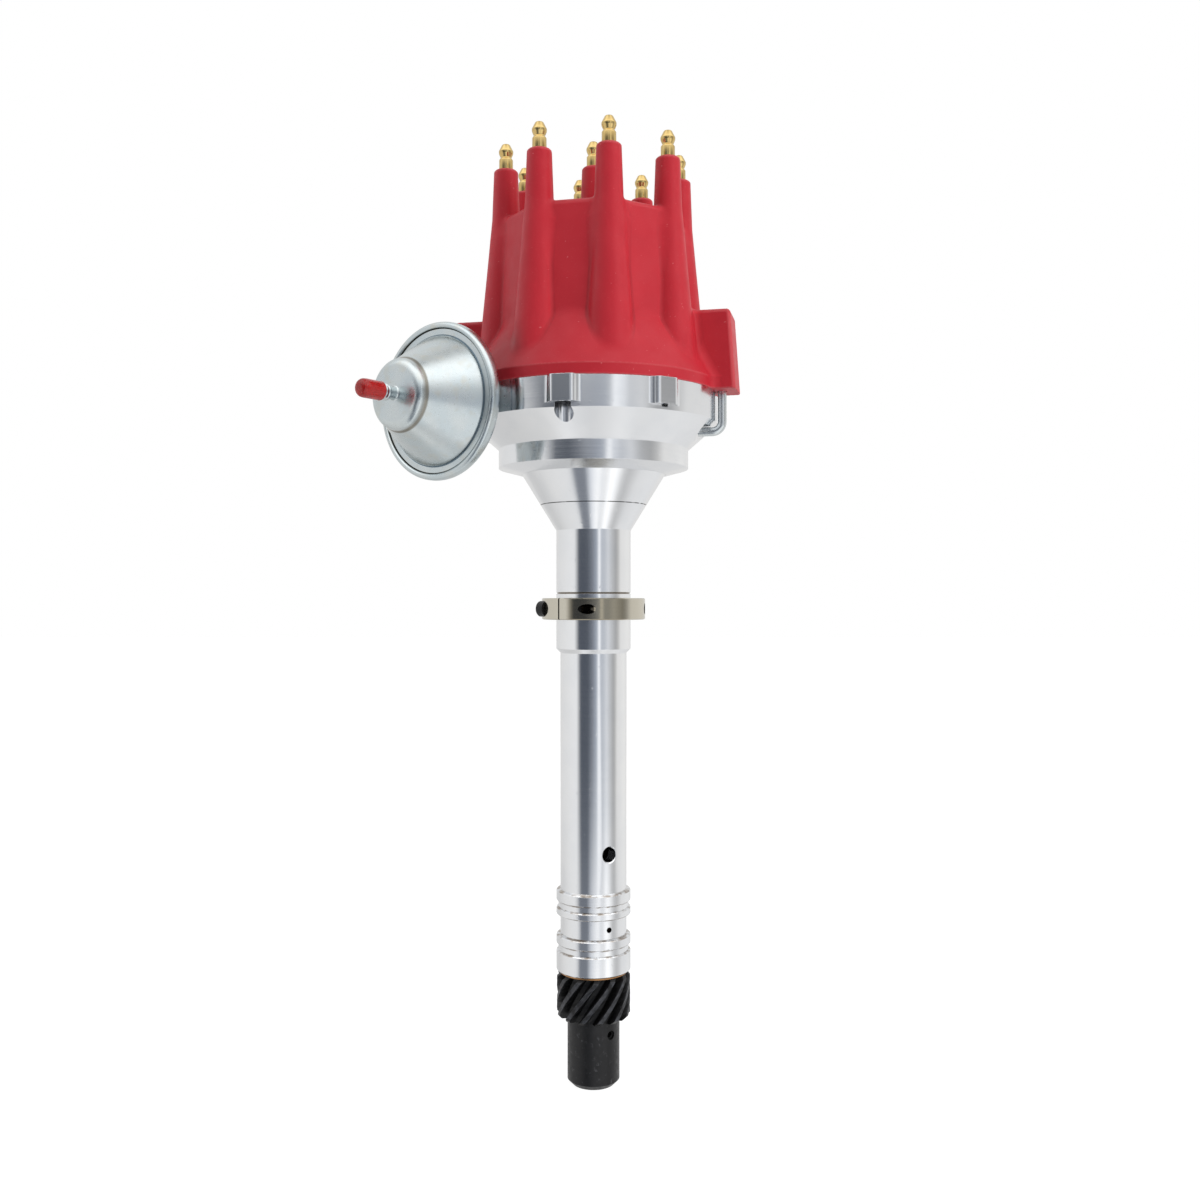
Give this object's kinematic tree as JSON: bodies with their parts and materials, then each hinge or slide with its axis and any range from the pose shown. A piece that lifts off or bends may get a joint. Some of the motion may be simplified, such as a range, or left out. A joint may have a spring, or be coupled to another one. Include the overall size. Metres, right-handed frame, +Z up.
{
  "type": "ignition distributor",
  "caption": "Ignition distributor with a moulded cap and tower terminals, vacuum advance canister, machined bowl and stem, adjustable slip collar and helical drive gear.",
  "frame": {"origin": "on the shaft axis, halfway up the lowest pilot land of the stem", "axes": "+Z up along the shaft towards the cap, -Y to the side the picture shows, the canister points to -X and -Y"},
  "size_m": [0.1514, 0.1195, 0.3997],
  "materials": {
    "aluminium": "machined satin",
    "bronze": "satin",
    "shaft_steel": "ground",
    "black_steel": "black oxide, satin",
    "nickel_collar": "brushed nickel",
    "red_cap": "satin moulded",
    "terminal_brass": "bright",
    "carbon": "matt carbon",
    "zinc_steel": "clear zinc plate",
    "spring_steel": "bare spring wire",
    "sintered_iron": "sintered",
    "black_plastic": "satin",
    "black_rubber": "matt",
    "red_vinyl": "soft gloss"
  },
  "bodies": {
    "housing": {"housing_stem": "aluminium", "housing_bowl": "aluminium", "lower_bushing": "bronze", "upper_bushing": "bronze", "distributor_cap": "red_cap", "plug_terminals": "terminal_brass", "coil_terminal": "terminal_brass", "carbon_button_spring": "spring_steel", "ignition_module": "black_plastic", "module_screws": "zinc_steel", "harness_grommet": "black_rubber", "vacuum_front_shell": "zinc_steel", "vacuum_rear_shell": "zinc_steel", "vacuum_diaphragm": "black_rubber", "diaphragm_spring": "spring_steel", "vacuum_nipple": "zinc_steel", "canister_bracket": "zinc_steel", "bracket_screws": "zinc_steel", "latch_spring_right": "spring_steel", "latch_spring_left": "spring_steel"},
    "shaft": {"main_shaft": "shaft_steel", "drive_gear": "black_steel", "gear_roll_pin": "black_steel", "gear_thrust_washer": "bronze", "upper_thrust_washer": "shaft_steel", "advance_cam": "shaft_steel", "cam_clip": "zinc_steel"},
    "advance": {"advance_sleeve": "zinc_steel", "reluctor": "sintered_iron", "weight_pins": "zinc_steel", "rotor": "red_cap", "rotor_contact": "terminal_brass", "rotor_screws": "zinc_steel", "advance_spring_a": "spring_steel", "advance_spring_b": "spring_steel"},
    "weight_a": {"flyweight_a": "zinc_steel"},
    "weight_b": {"flyweight_b": "zinc_steel"},
    "pickup": {"pickup_plate": "zinc_steel", "pickup_pole": "sintered_iron", "pickup_coil": "black_plastic"},
    "vacuum_rod": {"actuator_rod": "zinc_steel"},
    "vacuum_cap": {"nipple_cap": "red_vinyl"},
    "collar": {"slip_collar": "nickel_collar", "collar_clamp_screw": "black_steel", "collar_set_screw": "black_steel"},
    "button": {"carbon_button": "carbon"},
    "latch_washer_r": {"latch_washer_right": "zinc_steel"},
    "latch_r": {"latch_rod_right": "zinc_steel"},
    "latch_washer_l": {"latch_washer_left": "zinc_steel"},
    "latch_l": {"latch_rod_left": "zinc_steel"}
  },
  "joints": [
    {"name": "shaft_spin", "type": "hinge", "parent": "housing", "child": "shaft", "pos_m": [0, 0, 0], "axis": [0, 0, 1], "continuous": true},
    {"name": "centrifugal_advance", "type": "hinge", "parent": "shaft", "child": "advance", "pos_m": [0, 0, 0.2375], "axis": [0, 0, -1], "range_deg": [0, 12], "stiffness_Nm_per_rad": 0.05, "deforming": ["advance_spring_a", "advance_spring_b"]},
    {"name": "weight_a_swing", "type": "hinge", "parent": "advance", "child": "weight_a", "pos_m": [0.00098, 0.01792, 0.2408], "axis": [0, 0, 1], "range_deg": [0, 30]},
    {"name": "weight_b_swing", "type": "hinge", "parent": "advance", "child": "weight_b", "pos_m": [-0.00098, -0.01792, 0.2408], "axis": [0, 0, 1], "range_deg": [0, 30]},
    {"name": "vacuum_advance", "type": "hinge", "parent": "housing", "child": "pickup", "pos_m": [0, 0, 0.2282], "axis": [0, 0, 1], "range_deg": [0, 7.5], "stiffness_Nm_per_rad": 0.6},
    {"name": "vacuum_rod_slide", "type": "slide", "parent": "housing", "child": "vacuum_rod", "axis": [-0.6088, -0.7934, 0], "range_m": [0, 0.0041], "deforming": ["vacuum_diaphragm", "diaphragm_spring"]},
    {"name": "nipple_cap_pull", "type": "slide", "parent": "housing", "child": "vacuum_cap", "axis": [-0.6088, -0.7934, 0], "range_m": [0, 0.012]},
    {"name": "collar_slide", "type": "slide", "parent": "housing", "child": "collar", "axis": [0, 0, 1], "range_m": [-0.0115, 0.027]},
    {"name": "button_press", "type": "slide", "parent": "housing", "child": "button", "axis": [0, 0, 1], "range_m": [0, 0.0025], "stiffness_N_per_m": 300, "deforming": ["carbon_button_spring"]},
    {"name": "latch_press_right", "type": "slide", "parent": "housing", "child": "latch_washer_r", "axis": [0, 0, -1], "range_m": [0, 0.0025], "stiffness_N_per_m": 4000, "deforming": ["latch_spring_right"]},
    {"name": "latch_turn_right", "type": "hinge", "parent": "latch_washer_r", "child": "latch_r", "pos_m": [0.05345, -0.01209, 0.24], "axis": [0, 0, 1], "range_deg": [0, 90]},
    {"name": "latch_press_left", "type": "slide", "parent": "housing", "child": "latch_washer_l", "axis": [0, 0, -1], "range_m": [0, 0.0025], "stiffness_N_per_m": 4000, "deforming": ["latch_spring_left"]},
    {"name": "latch_turn_left", "type": "hinge", "parent": "latch_washer_l", "child": "latch_l", "pos_m": [-0.05345, 0.01209, 0.24], "axis": [0, 0, 1], "range_deg": [0, 90]}
  ],
  "couplings": [
    {"joint": "weight_a_swing", "follows": "centrifugal_advance", "ratio": 2.5},
    {"joint": "weight_b_swing", "follows": "centrifugal_advance", "ratio": 2.5},
    {"joint": "vacuum_rod_slide", "follows": "vacuum_advance", "m_per_rad": 0.0307}
  ]
}
